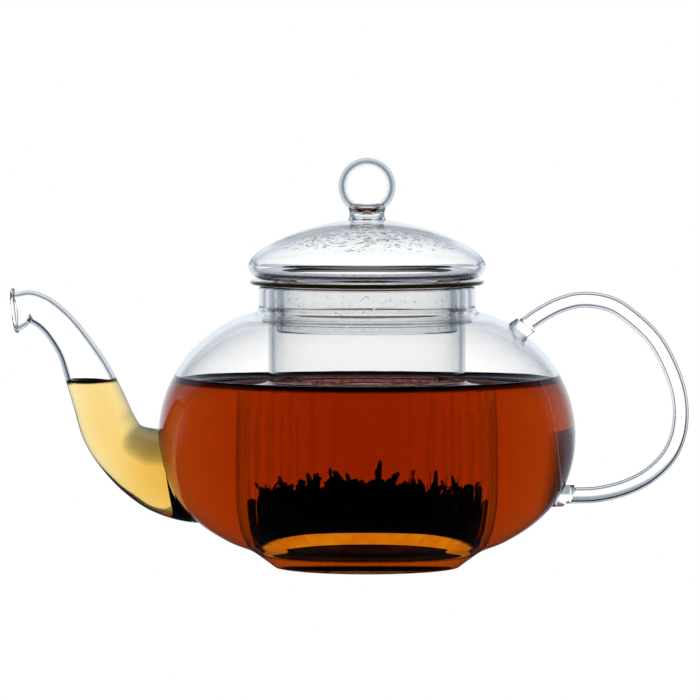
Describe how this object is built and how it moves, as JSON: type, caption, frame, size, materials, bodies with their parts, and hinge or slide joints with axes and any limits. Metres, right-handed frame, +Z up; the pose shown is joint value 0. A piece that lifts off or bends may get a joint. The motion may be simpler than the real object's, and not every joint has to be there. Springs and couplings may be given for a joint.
{
  "type": "glass teapot with infuser",
  "caption": "Clear glass teapot with a bent spout and rod handle, a lift-out glass infuser hung in the neck and a domed lid with a ball knob.",
  "frame": {"origin": "centre of the flat base the pot stands on, on the axis of the bowl", "axes": "+Z up along the axis of the bowl, neck, infuser and lid; -X towards the spout's mouth and +X towards the handle; the XZ plane is the pot's mirror plane"},
  "size_m": [0.2287, 0.14, 0.1373],
  "materials": {
    "bowl_glass": "clear borosilicate, fire polished",
    "rod_glass": "clear borosilicate, fire polished",
    "infuser_glass": "clear tube, fine cut slots",
    "infuser_rim_glass": "flange, dark olive brown when seen edge on",
    "lid_glass": "clear blown glass"
  },
  "bodies": {
    "pot": {"pot_base": "bowl_glass", "pot_foot": "bowl_glass", "pot_lower_belly": "bowl_glass", "pot_waist": "bowl_glass", "pot_shoulder": "bowl_glass", "pot_collar": "bowl_glass", "pot_neck": "bowl_glass", "spout": "bowl_glass", "handle_rod": "rod_glass", "handle_upper_weld": "rod_glass", "handle_lower_weld": "rod_glass"},
    "infuser": {"infuser_tube": "infuser_glass", "infuser_rim": "infuser_rim_glass"},
    "lid": {"lid_dome": "lid_glass", "lid_skirt": "lid_glass", "knob_stem": "lid_glass", "knob_ball": "lid_glass"}
  },
  "joints": [
    {"name": "infuser_lift", "type": "slide", "parent": "pot", "child": "infuser", "axis": [0, 0, 1], "range_m": [0, 0.11]},
    {"name": "lid_lift", "type": "slide", "parent": "infuser", "child": "lid", "axis": [0, 0, 1], "range_m": [0, 0.06]}
  ]
}
